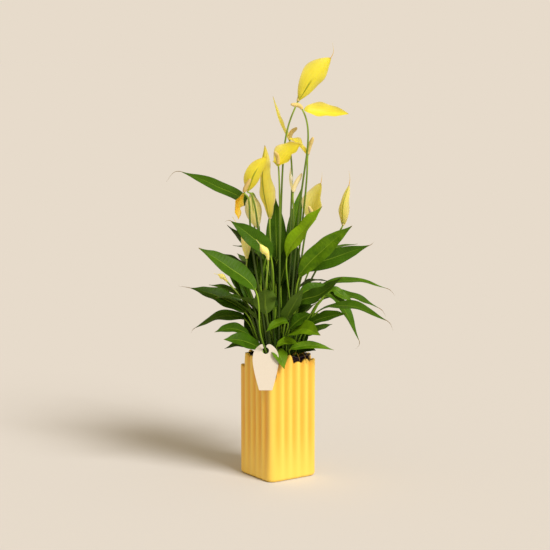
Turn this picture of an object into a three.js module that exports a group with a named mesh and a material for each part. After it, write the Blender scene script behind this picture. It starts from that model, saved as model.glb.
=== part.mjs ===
// A peace lily in a fluted square planter. Millimetres, +Z up, origin at the centre of the planter's base.
import * as THREE from 'three';

// ---------------------------------------------------------------- driving sizes
const gap = 0.3; // clearance between pieces that touch

const planter = {
  width: 118,
  height: 242,
  wall: 4.5,
  floor: 8,
  cornerRadius: 18,
  footRadius: 7,
  ribsPerSide: 4,
  ribPitch: 19.5,
  ribDepth: 3,
  ribFade: 110, // height over which the ribs grow out of the plain foot
  rimLobe: 4,
};

// How far each rib's rounded top stands over the planter's height, once round. Each side has four ribs
// and then its corner.
const rimRises = [
  4, 14, -2, 2, 0,
  8, 2, 11, 4, 0,
  9, 3, 6, 10, -16,
  11, 8, 3, 1, 2,
];

const liner = {
  wall: 1.2,
  lipThickness: 3,
  lipReach: 2,
  lipOverRim: 6,
  depth: 136,
  taper: 7,
  sideClearance: 0.5, // its lip is a snug fit in the planter
  cornerRadius: 9,
};

const soil = { belowRim: 14, edgeChamfer: 2, cornerRadius: 8 };

const tag = {
  width: 52,
  length: 92,
  footWidth: 27,
  widestFromTop: 30,
  thickness: 1.4,
  holeRadius: 6.5,
  holeFromTop: 13.5,
  slit: 2.4,
  horn: 4,
  hornWidth: 8,
  footRound: 2,
  lean: 15, // degrees that its top leans in over the rim
  sideways: -24,
  holeOverRim: 26,
};

const stem = { petioleRadius: 1.9, stalkRadius: 2.2, stalkTopRadius: 1.6, sides: 6 };
const blade = { thickness: 1.1, fold: 0.22, tipHalfWidth: 0.5 };
const spathe = { thickness: 1.0, fold: 0.45, tipHalfWidth: 0.5 };
const spadixRadius = 3.6;

const clumpTurn = -35; // degrees that the clump of leaves is turned in the square planter
const footCircle = 47; // half width of the soil that the stems' feet are set out for

// ---------------------------------------------------------------- derived heights and widths
const rimHeight = planter.height;
const innerHalf = planter.width / 2 - planter.ribDepth - planter.wall;
const linerHalf = innerHalf - liner.sideClearance - liner.lipReach;
const linerTop = rimHeight + liner.lipOverRim;
const linerBottom = linerTop - liner.depth;
const soilHeight = rimHeight - soil.belowRim;
const stemFoot = soilHeight + gap;
const seatScale = (linerHalf - liner.wall) / footCircle;

// ---------------------------------------------------------------- materials
function surface(color, roughness) {
  return new THREE.MeshStandardMaterial({ color, roughness, metalness: 0 });
}

const glaze = surface('#f3c846', 0.42);
const blackPlastic = surface('#1f1717', 0.3);
const pottingSoil = surface('#3a2a1d', 0.95);
const card = surface('#eee2cd', 0.7);
const leafGreen = surface('#33560f', 0.35);
const stalkGreen = surface('#8fb23c', 0.45);
const spatheYellow = surface('#f6dc2e', 0.5);

// ---------------------------------------------------------------- closed bodies from rings of points
// Joins rings that all have the same number of points, and closes both ends with a fan.
function bodyFromRings(rings, firstCentre, lastCentre) {
  const count = rings[0].length;
  const points = [firstCentre, ...rings.flat(), lastCentre];
  const last = points.length - 1;
  const faces = [];
  for (let i = 0; i < count; i += 1) {
    const next = (i + 1) % count;
    faces.push(0, 1 + next, 1 + i);
    for (let r = 0; r < rings.length - 1; r += 1) {
      const low = 1 + r * count;
      const high = low + count;
      faces.push(low + i, low + next, high + next);
      faces.push(low + i, high + next, high + i);
    }
    const top = 1 + (rings.length - 1) * count;
    faces.push(last, top + i, top + next);
  }
  const geometry = new THREE.BufferGeometry();
  geometry.setAttribute('position', new THREE.Float32BufferAttribute(points.flatMap((p) => p.toArray()), 3));
  geometry.setIndex(faces);
  geometry.computeVertexNormals();
  return geometry;
}

function middle(ring) {
  const sum = new THREE.Vector3();
  ring.forEach((p) => sum.add(p));
  return sum.divideScalar(ring.length);
}

// ---------------------------------------------------------------- square rings
// The rim is highest on the middle of a rib and falls below the lower of two ribs in their groove.
function rimTop(rib, across) {
  const count = rimRises.length;
  const beside = rimRises[(rib + (across < 0.5 ? count - 1 : 1)) % count];
  const groove = Math.min(rimRises[rib], beside) - planter.rimLobe;
  return planter.height + lerp(groove, rimRises[rib], Math.sin(Math.PI * across));
}

// One turn round a rounded square, rib by rib. Each point has its place on the outline, its outward
// direction, how deep it lies in a valley (0 on a ridge, 1 in the groove) and the height of the rim there.
function ribbedOutline(half, radius) {
  const straight = half - radius;
  const grooveEnd = (planter.ribsPerSide / 2) * planter.ribPitch;
  const stepsPerRib = 6;
  const stepsPerCorner = 8;
  const cornerLength = 2 * (straight - grooveEnd) + (Math.PI / 2) * radius;
  const places = [];
  for (let side = 0; side < 4; side += 1) {
    const firstRib = side * (planter.ribsPerSide + 1);
    for (let rib = 0; rib < planter.ribsPerSide; rib += 1) {
      for (let step = 0; step < stepsPerRib; step += 1) {
        const across = step / stepsPerRib;
        const along = -grooveEnd + (rib + across) * planter.ribPitch;
        places.push({ side, along, across, rib: firstRib + rib });
      }
    }
    for (let step = 0; step < stepsPerCorner; step += 1) {
      const across = step / stepsPerCorner;
      const along = grooveEnd + across * cornerLength;
      places.push({ side, along, across, rib: firstRib + planter.ribsPerSide });
    }
  }
  return places.map(({ side, along, across, rib }) => {
    const pastStraight = Math.max(0, along - straight);
    const turn = Math.min(pastStraight / radius, Math.PI / 2);
    const afterTurn = Math.max(0, pastStraight - (Math.PI / 2) * radius);
    const local = new THREE.Vector3(
      Math.min(along, straight) + radius * Math.sin(turn),
      -straight - radius * Math.cos(turn) + afterTurn,
      0,
    );
    const outward = new THREE.Vector3(Math.sin(turn), -Math.cos(turn), 0);
    const quarter = (side * Math.PI) / 2;
    const up = new THREE.Vector3(0, 0, 1);
    return {
      place: local.applyAxisAngle(up, quarter),
      outward: outward.applyAxisAngle(up, quarter),
      valley: (1 + Math.cos(2 * Math.PI * across)) / 2,
      top: rimTop(rib, across),
    };
  });
}

function squareRing(half, radius, height) {
  const stepsPerCorner = 5;
  const ring = [];
  for (let corner = 0; corner < 4; corner += 1) {
    for (let step = 0; step <= stepsPerCorner; step += 1) {
      const angle = ((corner + step / stepsPerCorner) * Math.PI) / 2;
      const quarter = ((corner + 0.5) * Math.PI) / 2;
      const centre = Math.SQRT2 * (half - radius);
      ring.push(new THREE.Vector3(
        centre * Math.cos(quarter) + radius * Math.cos(angle),
        centre * Math.sin(quarter) + radius * Math.sin(angle),
        height,
      ));
    }
  }
  return ring;
}

// ---------------------------------------------------------------- planter, liner, soil
function planterGeometry() {
  const outline = ribbedOutline(planter.width / 2, planter.cornerRadius);
  const inside = planter.width / 2 - innerHalf;
  const rimRound = planter.wall / 2;
  const foot = planter.footRadius;
  const ring = (height, inset) => outline.map((point) => (
    point.place.clone().addScaledVector(point.outward, -inset(point)).setZ(height(point))
  ));
  const ribbed = (height, extraInset) => {
    const growth = lerp(0.2, 1, THREE.MathUtils.smoothstep(height, 0, planter.ribFade));
    return ring(() => height, ({ valley }) => extraInset + planter.ribDepth * growth * valley);
  };
  const rings = [
    ribbed(0, foot),
    ribbed(foot * 0.13, foot * 0.5),
    ribbed(foot * 0.5, foot * 0.13),
    ribbed(foot, 0),
    ribbed(planter.ribFade * 0.35, 0),
    ribbed(planter.ribFade * 0.65, 0),
    ribbed(planter.ribFade, 0),
    ring(({ top }) => top - rimRound, ({ valley }) => planter.ribDepth * valley),
    ring(({ top }) => top, ({ valley }) => rimRound + planter.ribDepth * valley),
    ring(({ top }) => top - rimRound, () => inside),
    ring(() => planter.floor, () => inside),
  ];
  return bodyFromRings(rings, new THREE.Vector3(0, 0, 0), new THREE.Vector3(0, 0, planter.floor));
}

function linerGeometry() {
  const lipBottom = linerTop - liner.lipThickness;
  const foot = linerHalf - liner.taper;
  const lip = linerHalf + liner.lipReach;
  const round = liner.cornerRadius;
  const rings = [
    squareRing(foot, round, linerBottom),
    squareRing(linerHalf, round, lipBottom),
    squareRing(lip, round + liner.lipReach, lipBottom),
    squareRing(lip, round + liner.lipReach, linerTop),
    squareRing(linerHalf - liner.wall, round - liner.wall, linerTop),
    squareRing(foot - liner.wall, round - liner.wall, linerBottom + liner.wall),
  ];
  const floor = new THREE.Vector3(0, 0, linerBottom + liner.wall);
  return bodyFromRings(rings, new THREE.Vector3(0, 0, linerBottom), floor);
}

function soilGeometry() {
  const top = linerHalf - liner.wall - gap;
  const bottomHeight = linerBottom + liner.wall + gap;
  const taperAt = (height) => (liner.taper * (linerTop - height)) / liner.depth;
  const at = (height, inset) => squareRing(top - taperAt(height) - inset, soil.cornerRadius, height);
  const rings = [
    at(bottomHeight, 0),
    at(soilHeight - soil.edgeChamfer, 0),
    at(soilHeight, soil.edgeChamfer),
  ];
  return bodyFromRings(rings, new THREE.Vector3(0, 0, bottomHeight), new THREE.Vector3(0, 0, soilHeight));
}

// ---------------------------------------------------------------- care tag
// A tapered shield with a slit that runs down into a round hole, pushed onto a leaf stem.
function tagGeometry() {
  const half = tag.width / 2;
  const foot = tag.footWidth / 2;
  const slit = tag.slit / 2;
  const meet = Math.asin(slit / tag.holeRadius);
  const neck = slit + tag.hornWidth;
  const widest = -tag.widestFromTop;
  const shape = new THREE.Shape();
  shape.moveTo(slit, -tag.horn);
  shape.quadraticCurveTo(slit + tag.hornWidth / 3, 0, neck, -1);
  shape.quadraticCurveTo(half, widest / 3, half, widest);
  shape.quadraticCurveTo(half, widest * 1.6, foot, tag.footRound - tag.length);
  shape.quadraticCurveTo(foot, -tag.length, foot - tag.footRound, -tag.length);
  shape.lineTo(tag.footRound - foot, -tag.length);
  shape.quadraticCurveTo(-foot, -tag.length, -foot, tag.footRound - tag.length);
  shape.quadraticCurveTo(-half, widest * 1.6, -half, widest);
  shape.quadraticCurveTo(-half, widest / 3, -neck, -1);
  shape.quadraticCurveTo(-slit - tag.hornWidth / 3, 0, -slit, -tag.horn);
  shape.absarc(0, -tag.holeFromTop, tag.holeRadius, Math.PI / 2 + meet, Math.PI / 2 - meet, false);
  const options = { depth: tag.thickness, bevelEnabled: false, curveSegments: 5 };
  return new THREE.ExtrudeGeometry(shape, options).translate(0, 0, -tag.thickness / 2);
}

// The tag leans on the rim's near corner, so its hole stands in from the corner by its lean.
const tagLean = THREE.MathUtils.degToRad(tag.lean);
const cornerCentre = Math.SQRT2 * (planter.width / 2 - planter.cornerRadius);
const cornerTurn = THREE.MathUtils.degToRad(45 + clumpTurn);
const nearCorner = cornerCentre * Math.cos(cornerTurn) + planter.cornerRadius + gap + tag.thickness / 2;
const tagHole = [tag.sideways, tag.holeOverRim * Math.tan(tagLean) - nearCorner, tag.holeOverRim];

// ---------------------------------------------------------------- swept stems and blades
const upright = new THREE.Vector3(0, 0, 1);

function lerp(from, to, share) {
  return from + (to - from) * share;
}

// The blade's half width along its length: a full belly below the middle and a long drawn-out tip.
function bladeOutline(along) {
  return Math.sin(Math.PI * along ** 0.72) ** 0.85 * (1 - 0.12 * along);
}

// A spathe is fuller than a leaf, and broadest near its middle.
function spatheOutline(along) {
  return Math.sin(Math.PI * along ** 0.85) ** 0.75;
}

// Eight points round a stem or a folded blade. Width runs along side, thickness along face.
function section(centre, side, face, halfWidth, halfThickness, fold) {
  const shoulder = 0.66;
  const at = (across, lift) => centre.clone()
    .addScaledVector(side, across * halfWidth)
    .addScaledVector(face, Math.abs(across) * halfWidth * fold + lift * halfThickness);
  return [at(-1, 0), at(-shoulder, shoulder), at(0, 1), at(shoulder, shoulder),
    at(1, 0), at(shoulder, -shoulder), at(0, -1), at(-shoulder, -shoulder)];
}

// Sideways and facing directions on a path, from the direction that the upper face looks in.
function frameAt(curve, t, facing, roll) {
  const forward = curve.getTangent(t);
  const side = new THREE.Vector3().crossVectors(forward, facing).normalize();
  side.applyAxisAngle(forward, THREE.MathUtils.degToRad(roll));
  return { side, face: new THREE.Vector3().crossVectors(side, forward) };
}

function sweptRings(curve, rows, facing, roll) {
  return rows.map(({ t, halfWidth, halfThickness, fold }) => {
    const { side, face } = frameAt(curve, t, facing, roll);
    return section(curve.getPoint(t), side, face, halfWidth, halfThickness, fold);
  });
}

function closedBody(rings) {
  return bodyFromRings(rings, middle(rings[0]), middle(rings[rings.length - 1]));
}

// A stem's lowest ring lies level on the soil.
function standingBody(rings) {
  rings[0].forEach((point) => point.setZ(stemFoot));
  return closedBody(rings);
}

function smoothCurve(points) {
  return new THREE.CatmullRomCurve3(points, false, 'catmullrom', 0.5);
}

// ---------------------------------------------------------------- leaves
// A place in the clump: its heading in degrees, its distance from the middle and its height over the rim.
function around(heading, distance, overRim) {
  const angle = THREE.MathUtils.degToRad(heading);
  return new THREE.Vector3(distance * Math.cos(angle), distance * Math.sin(angle), rimHeight + overRim);
}

function seatAt(heading, distance) {
  return around(heading, distance * seatScale, 0).setZ(stemFoot);
}

function besideHole(sideways, depth, up) {
  return [tagHole[0] + sideways, tagHole[1] + depth, tagHole[2] + up];
}

// Each leaf has the heading and distance of its foot in the soil, then heading, distance and height over
// the rim for where its blade starts and where it ends. Arch lifts the middle, roll turns it on its midrib.
const leaves = [
  { foot: [-66, 37], start: [-60, 40, 49], end: [-60, 165, 70], width: 44, arch: 14, roll: 35 },
  { foot: [-57, 30], start: [-42, 55, 116], end: [-40, 163, 178], width: 34, arch: -8, roll: 65 },
  { foot: [-41, 38], start: [-48, 27, 207], end: [-30, 101, 311], width: 42, arch: 6, roll: 60 },
  { foot: [-29, 31], start: [-36, 75, 74], end: [-38, 170, 106], width: 30, arch: 5, roll: 45 },
  { foot: [-8, 30], start: [-20, 46, 166], end: [-20, 156, 273], width: 42, arch: 8, roll: 75 },
  { foot: [-17, 38], start: [-22, 90, 101], end: [-26, 237, 92], width: 34, arch: 18, roll: 12 },
  { foot: [4, 38], start: [-6, 96, 128], end: [-8, 165, 37], width: 34, arch: 24, roll: 25 },
  { foot: [15, 31], start: [0, 53, 174], end: [-3, 184, 229], width: 38, arch: 4, roll: 80 },
  { foot: [26, 38], start: [12, 90, 115], end: [8, 209, 95], width: 30, arch: 16, roll: 26 },
  { foot: [38, 31], start: [24, 88, 132], end: [20, 240, 128], width: 26, arch: 18, roll: 15 },
  { foot: [49, 38], start: [33, 66, 36], end: [30, 130, 56], width: 26, arch: 4, roll: 25 },
  { foot: [61, 31], start: [38, 96, 190], end: [36, 205, 216], width: 32, arch: 8, roll: 5 },
  { foot: [73, 38], start: [62, 50, 209], end: [60, 99, 339], width: 28, arch: 2, roll: 30 },
  { foot: [85, 31], start: [78, 62, 120], end: [76, 190, 150], width: 40, arch: 16, roll: 0 },
  { foot: [96, 38], start: [96, 22, 193], end: [98, 36, 321], width: 44, arch: 0, roll: -10 },
  { foot: [108, 31], start: [98, 60, 52], end: [98, 180, 48], width: 40, arch: 16, roll: 0 },
  { foot: [120, 38], start: [118, 62, 130], end: [117, 190, 190], width: 40, arch: 12, roll: 0 },
  { foot: [132, 31], start: [130, 42, 150], end: [130, 88, 249], width: 34, arch: 0, roll: -15 },
  { foot: [144, 38], start: [150, 61, 106], end: [150, 131, 180], width: 26, arch: 4, roll: -15 },
  { foot: [155, 31], start: [155, 62, 297], end: [162, 208, 371], width: 28, arch: 10, roll: -55 },
  { foot: [166, 38], start: [167, 65, 111], end: [167, 144, 143], width: 26, arch: 8, roll: -20 },
  { foot: [177, 31], start: [177, 67, 77], end: [176, 169, 57], width: 32, arch: 14, roll: -35 },
  { foot: [188, 38], start: [185, 48, 21], end: [183, 108, 18], width: 26, arch: 7, roll: -25 },
  { foot: [199, 31], start: [192, 67, 94], end: [190, 178, 146], width: 40, arch: 8, roll: -50 },
  { foot: [210, 38], start: [201, 62, 49], end: [200, 134, 59], width: 34, arch: 10, roll: -35 },
  { foot: [262, 33], start: [248, 37, 208], end: [213, 110, 283], width: 40, arch: 6, roll: -75 },
  { foot: [232, 38], start: [226, 50, 24], end: [216, 132, 50], width: 38, arch: 7, roll: -45 },
  { foot: [247, 38], bends: [besideHole(9, 27, -28), tagHole, besideHole(-11, -17, 43)],
    start: [241, 91, 149], end: [213, 184, 235], width: 46, arch: 6, roll: -55 },
  { foot: [283, 36], start: [288, 48, 79], end: [290, 142, 159], width: 34, arch: 4, roll: 0 },
];

function leafGeometry({ foot, bends, start, end, width, arch, roll }) {
  const seat = seatAt(...foot);
  const bladeStart = around(...start);
  const bladeEnd = around(...end);
  const knee = new THREE.Vector3(
    lerp(seat.x, bladeStart.x, 0.35),
    lerp(seat.y, bladeStart.y, 0.35),
    lerp(seat.z, bladeStart.z, 0.52),
  );
  const bladeMiddle = bladeStart.clone().lerp(bladeEnd, 0.5);
  bladeMiddle.z += arch;
  const stemPoints = bends ? bends.map(place) : [knee];
  const points = [seat, ...stemPoints, bladeStart, bladeMiddle, bladeEnd];
  const curve = smoothCurve(points);
  const startAt = (points.length - 3) / (points.length - 1);
  const outward = bladeEnd.clone().sub(bladeStart).setZ(0).normalize();
  const facing = upright.clone().addScaledVector(outward, -0.3);
  const rows = [];
  const petioleSteps = 5 * stemPoints.length;
  for (let i = 0; i <= petioleSteps; i += 1) {
    const radius = stem.petioleRadius * lerp(1.15, 0.75, i / petioleSteps);
    rows.push({ t: startAt * (i / petioleSteps), halfWidth: radius, halfThickness: radius, fold: 0 });
  }
  const bladeSteps = 10;
  for (let i = 1; i <= bladeSteps; i += 1) {
    const along = i / bladeSteps;
    rows.push({
      t: lerp(startAt, 1, along),
      halfWidth: Math.max((width / 2) * bladeOutline(along), blade.tipHalfWidth),
      halfThickness: lerp(stem.petioleRadius * 0.6, blade.thickness / 2, Math.min(1, along * 3)),
      fold: blade.fold,
    });
  }
  return standingBody(sweptRings(curve, rows, facing, roll));
}

// ---------------------------------------------------------------- flowers
// Sideways and depth distances from the middle of the clump and heights over the rim. The stalk runs from
// its foot through its bends to its top, and on into the spadix. The spathe runs from the top to its tip.
const flowers = [
  { foot: [2, 8], bends: [[5, 10, 240], [14, 10, 430]], top: [40, 10, 515], spadix: [58, 22, 545],
    tip: [105, 10, 600], width: 46, bow: [-8, 8] },
  { foot: [16, -6], bends: [[42, -10, 290], [60, -10, 440]], top: [48, -10, 500], spadix: [26, -21, 510],
    tip: [140, -10, 492], width: 30, bow: [0, -4], lift: 4 },
  { foot: [8, 14], bends: [[28, 20, 330]], top: [24, 28, 437], spadix: [38, 28, 462],
    tip: [-10, 28, 524], width: 26, bow: [-4, 0] },
  { foot: [2, -14], bends: [[4, -20, 280]], top: [1, -20, 392], spadix: [-6, -40, 418],
    tip: [44, -16, 430], width: 38, bow: [0, 6], lift: 1.5 },
  { foot: [17, 4], bends: [[54, 2, 320]], top: [60, 2, 410], spadix: [70, -4, 444],
    tip: [22, 4, 440], width: 30, bow: [0, 10], lift: 1.5 },
  { foot: [-14, -6], bends: [[-38, -15, 250], [-50, -15, 325]], top: [-60, -15, 338],
    spadix: [-52, -4, 362], tip: [-22, -30, 407], width: 34, bow: [-6, 4], lift: 1 },
  { foot: [-14, -18], bends: [[-51, -16, 230], [-57, -32, 318]], top: [-66, -34, 338],
    spadix: [-54, -36, 364], tip: [-78, -38, 284], width: 26, bow: [-6, 0], lift: 2 },
  { foot: [-6, -4], bends: [[-12, -5, 180]], top: [-16, -5, 282], spadix: [-6, 10, 328],
    tip: [-26, 2, 428], width: 36, bow: [0, 0] },
  { foot: [-12, 8], bends: [[-34, 14, 220], [-44, 14, 316]], top: [-53, 12, 330], spadix: [-48, 22, 302],
    tip: [-40, 8, 260], width: 34, bow: [-2, 0], lift: 1 },
  { foot: [9, 2], bends: [[30, 0, 260]], top: [31, 0, 335], spadix: [48, -2, 372],
    tip: [25, 0, 383], width: 22, bow: [0, 0] },
  { foot: [23, -1], bends: [[52, 0, 232]], top: [69, 0, 279], spadix: [62, -15, 308],
    tip: [86, 0, 353], width: 46, bow: [-6, 0] },
  { foot: [15, 19], bends: [[58, 40, 130], [118, 44, 238]], top: [132, 40, 264], spadix: [142, 48, 296],
    tip: [144, 40, 346], width: 24, bow: [-2, 0] },
];

function place([sideways, depth, overRim]) {
  return new THREE.Vector3(sideways, depth, rimHeight + overRim);
}

function stalkFoot([sideways, depth]) {
  return new THREE.Vector3(sideways * seatScale, depth * seatScale, stemFoot);
}

function stalkGeometry({ foot, bends, top, spadix }) {
  const points = [stalkFoot(foot), ...bends.map(place), place(top), place(spadix)];
  const curve = smoothCurve(points);
  const topAt = (points.length - 2) / (points.length - 1);
  const rows = [];
  const steps = 4 * (points.length - 2);
  for (let i = 0; i <= steps; i += 1) {
    rows.push({ t: topAt * (i / steps), radius: lerp(stem.stalkRadius, stem.stalkTopRadius, i / steps) });
  }
  const spadixSteps = [[0.3, 0.8], [0.42, 1], [0.8, 0.95], [1, 0.45]];
  spadixSteps.forEach(([share, fullness]) => {
    rows.push({ t: topAt + (1 - topAt) * share, radius: spadixRadius * fullness });
  });
  const facing = new THREE.Vector3(0.31, -0.95, 0.07);
  const rings = rows.map(({ t, radius }) => {
    const { side, face } = frameAt(curve, t, facing, 0);
    const ring = [];
    for (let k = 0; k < stem.sides; k += 1) {
      const angle = (2 * Math.PI * k) / stem.sides;
      ring.push(curve.getPoint(t)
        .addScaledVector(side, radius * Math.cos(angle))
        .addScaledVector(face, -radius * Math.sin(angle)));
    }
    return ring;
  });
  return standingBody(rings);
}

// The spathe stands behind the stalk's top, seen from the spadix, and its hollow side faces the spadix.
function spatheGeometry({ top, spadix, tip, width, bow, lift = 0 }) {
  const start = place(top);
  const end = place(tip);
  const length = end.clone().sub(start);
  const direction = length.clone().normalize();
  const toSpadix = place(spadix).sub(start);
  const facing = toSpadix.addScaledVector(direction, -toSpadix.dot(direction)).normalize();
  start.addScaledVector(facing, -(stem.stalkTopRadius + gap + spathe.thickness / 2));
  start.addScaledVector(direction, lift);
  const belly = start.clone().lerp(end, 0.5).addScaledVector(facing, -0.08 * length.length());
  belly.x += bow[0];
  belly.z += bow[1];
  const curve = smoothCurve([start, belly, end]);
  const rows = [];
  const steps = 9;
  for (let i = 0; i <= steps; i += 1) {
    const along = i / steps;
    const narrowest = i === 0 ? stem.stalkRadius : spathe.tipHalfWidth;
    rows.push({
      t: along,
      halfWidth: Math.max((width / 2) * spatheOutline(along), narrowest),
      halfThickness: spathe.thickness / 2,
      fold: spathe.fold,
    });
  }
  return closedBody(sweptRings(curve, rows, facing, 0));
}

// ---------------------------------------------------------------- unopened buds
const buds = [
  { foot: [-22, -8], bends: [[-50, -14, 113], [-63, -12, 170]], top: [-62, -12, 202], swell: [-66, -12, 244],
    tip: [-90, -12, 286], radius: 9 },
  { foot: [-8, -15], bends: [[-24, -52, 120]], top: [-19, -70, 207], swell: [-30, -74, 231],
    tip: [-42, -76, 248], radius: 7 },
  { foot: [-21, 3], bends: [[-58, -2, 96]], top: [-101, -4, 154], swell: [-115, -4, 167],
    tip: [-128, -4, 171], radius: 5 },
];

function budGeometry({ foot, bends, top, swell, tip, radius: fullRadius }) {
  const points = [stalkFoot(foot), ...bends.map(place), place(top), place(swell), place(tip)];
  const curve = smoothCurve(points);
  const topAt = (points.length - 3) / (points.length - 1);
  const rows = [];
  const steps = 4 * (points.length - 3);
  for (let i = 0; i <= steps; i += 1) {
    rows.push({ t: topAt * (i / steps), radius: lerp(stem.stalkRadius, stem.stalkTopRadius, i / steps) });
  }
  const budSteps = [[0.15, 0.7], [0.35, 1], [0.55, 0.7], [0.8, 0.25], [1, 0.1]];
  budSteps.forEach(([share, fullness]) => {
    rows.push({ t: topAt + (1 - topAt) * share, radius: fullRadius * fullness });
  });
  const facing = new THREE.Vector3(0.31, -0.95, 0.07);
  const shaped = rows.map(({ t, radius }) => ({ t, halfWidth: radius, halfThickness: radius, fold: 0 }));
  return standingBody(sweptRings(curve, shaped, facing, 0));
}

// ---------------------------------------------------------------- assembly
const pottedPeaceLily = new THREE.Group();
const clump = new THREE.Group();
clump.rotation.z = THREE.MathUtils.degToRad(clumpTurn);
pottedPeaceLily.add(clump);

function add(parent, name, geometry, material) {
  const mesh = new THREE.Mesh(geometry, material);
  mesh.name = name;
  parent.add(mesh);
  return mesh;
}

add(pottedPeaceLily, 'planter', planterGeometry(), glaze);
add(pottedPeaceLily, 'nursery_pot', linerGeometry(), blackPlastic);
add(pottedPeaceLily, 'soil', soilGeometry(), pottingSoil);

const tagMesh = add(clump, 'care_tag', tagGeometry(), card);
tagMesh.rotation.x = Math.PI / 2 - tagLean;
tagMesh.position.copy(place(tagHole));
tagMesh.position.y += tag.holeFromTop * Math.sin(tagLean);
tagMesh.position.z += tag.holeFromTop * Math.cos(tagLean);

leaves.forEach((leaf, i) => {
  add(clump, `leaf_${i + 1}`, leafGeometry(leaf), leafGreen);
});
flowers.forEach((flower, i) => {
  add(clump, `flower_stalk_${i + 1}`, stalkGeometry(flower), stalkGreen);
  add(clump, `spathe_${i + 1}`, spatheGeometry(flower), spatheYellow);
});
buds.forEach((bud, i) => {
  add(clump, `bud_${i + 1}`, budGeometry(bud), stalkGreen);
});

export default pottedPeaceLily;
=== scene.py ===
import math
from functools import partial

import bpy
import numpy as np
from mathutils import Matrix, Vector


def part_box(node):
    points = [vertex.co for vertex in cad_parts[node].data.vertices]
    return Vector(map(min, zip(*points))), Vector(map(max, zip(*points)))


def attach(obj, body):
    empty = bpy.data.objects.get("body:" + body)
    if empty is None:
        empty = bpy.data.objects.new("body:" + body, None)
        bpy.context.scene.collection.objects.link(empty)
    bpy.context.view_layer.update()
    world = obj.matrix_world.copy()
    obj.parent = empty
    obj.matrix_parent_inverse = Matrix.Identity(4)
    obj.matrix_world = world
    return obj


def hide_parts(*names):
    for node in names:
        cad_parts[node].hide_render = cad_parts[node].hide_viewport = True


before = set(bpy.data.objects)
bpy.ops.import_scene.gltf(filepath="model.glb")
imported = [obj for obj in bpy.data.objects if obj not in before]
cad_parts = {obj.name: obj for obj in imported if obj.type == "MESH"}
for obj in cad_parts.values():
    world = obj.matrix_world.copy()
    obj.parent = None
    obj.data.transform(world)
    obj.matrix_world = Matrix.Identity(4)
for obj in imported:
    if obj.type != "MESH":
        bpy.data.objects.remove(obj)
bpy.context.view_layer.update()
mm = 0.001


# the camera looks at the near corner of the planter, a little down
view = {
    "azimuth": -35,  # degrees, the plant is set out square to this direction
    "distance": 3.184,  # metres from the planter's middle, level
    "height": 0.857,
    "pitch": 8,  # degrees down
    "lens": 104.7,
    "shift": -0.0051,
}


def addCamera():
    turn = math.radians(view["azimuth"])
    data = bpy.data.cameras.new("camera")
    data.lens = view["lens"]
    data.shift_x = view["shift"]
    data.clip_end = 100
    camera = bpy.data.objects.new("camera", data)
    place = (math.sin(turn) * view["distance"], -math.cos(turn) * view["distance"], view["height"])
    camera.location = place
    camera.rotation_euler = (math.radians(90 - view["pitch"]), 0, turn)
    bpy.context.scene.collection.objects.link(camera)
    bpy.context.scene.camera = camera


addCamera()
print("camera placed")


# numbers that every piece of the plant shares
planterLow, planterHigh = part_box("planter")
planterWidth = (planterHigh.x - planterLow.x) / mm
rimHeight = 242
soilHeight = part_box("soil")[1].z / mm
clumpTurn = math.radians(view["azimuth"])


def turned(points):
    # the clump's own directions, turned about the planter's middle, and millimetres made metres
    c, s = math.cos(clumpTurn), math.sin(clumpTurn)
    x, y, z = points[..., 0], points[..., 1], points[..., 2]
    return np.stack([x * c - y * s, x * s + y * c, z], -1) * mm


def lerp(a, b, share):
    return a + (b - a) * share


def smooth(x):
    # 0 below 0, 1 above 1, and an easy S between
    x = np.clip(x, 0, 1)
    return x * x * (3 - 2 * x)


def curveAt(points, t):
    # uniform Catmull-Rom curve through the points, with its direction
    points = np.asarray(points, float)
    padded = np.vstack([2 * points[0] - points[1], points, 2 * points[-1] - points[-2]])
    steps = len(points) - 1
    spot = np.clip(np.asarray(t, float) * steps, 0, steps)
    i = np.minimum(spot.astype(int), steps - 1)
    f = (spot - i)[:, None]
    a, b, c, d = (padded[i + k] for k in range(4))
    place = 0.5 * (2 * b + (c - a) * f + (2 * a - 5 * b + 4 * c - d) * f**2 + (3 * b - a - 3 * c + d) * f**3)
    slope = 0.5 * ((c - a) + 2 * (2 * a - 5 * b + 4 * c - d) * f + 3 * (3 * b - a - 3 * c + d) * f**2)
    return place, slope / np.linalg.norm(slope, axis=1, keepdims=True)


def unit(v):
    return v / np.linalg.norm(v, axis=-1, keepdims=True)


def frameAlong(forward, facing, roll):
    # side lies across the blade, face stands up from it, both turned by roll about the midrib
    side = unit(np.cross(forward, facing))
    turn = np.broadcast_to(np.radians(roll), len(forward))[:, None]
    side = side * np.cos(turn) + np.cross(forward, side) * np.sin(turn)
    return side, np.cross(side, forward)


def ringsAlong(place, side, face, across, lift):
    # one ring for each place: its points stand off sideways and towards the face
    return place[:, None] + side[:, None] * across[..., None] + face[:, None] * lift[..., None]


def closedGrid(points, values=None, material=0):
    # rings of points, closed round each ring, with a middle point that closes each end
    rows, cols = points.shape[:2]
    ends = np.stack([points[0].mean(0), points[-1].mean(0)])
    flat = np.vstack([points.reshape(-1, 3), ends])
    index = np.arange(rows * cols).reshape(rows, cols)
    after = np.roll(index, -1, 1)
    quads = np.stack([index[:-1], after[:-1], after[1:], index[1:]], -1).reshape(-1, 4)
    first = np.stack([np.full(cols, rows * cols), after[0], index[0]], -1)
    last = np.stack([np.full(cols, rows * cols + 1), index[-1], after[-1]], -1)
    data = {}
    for name, array in (values or {}).items():
        array = np.broadcast_to(array, (rows, cols))
        data[name] = np.concatenate([array.ravel(), [array[0].mean(), array[-1].mean()]])
    tris = np.vstack([first, last])
    return {"points": flat, "quads": quads, "tris": tris, "values": data, "material": material}


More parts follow.
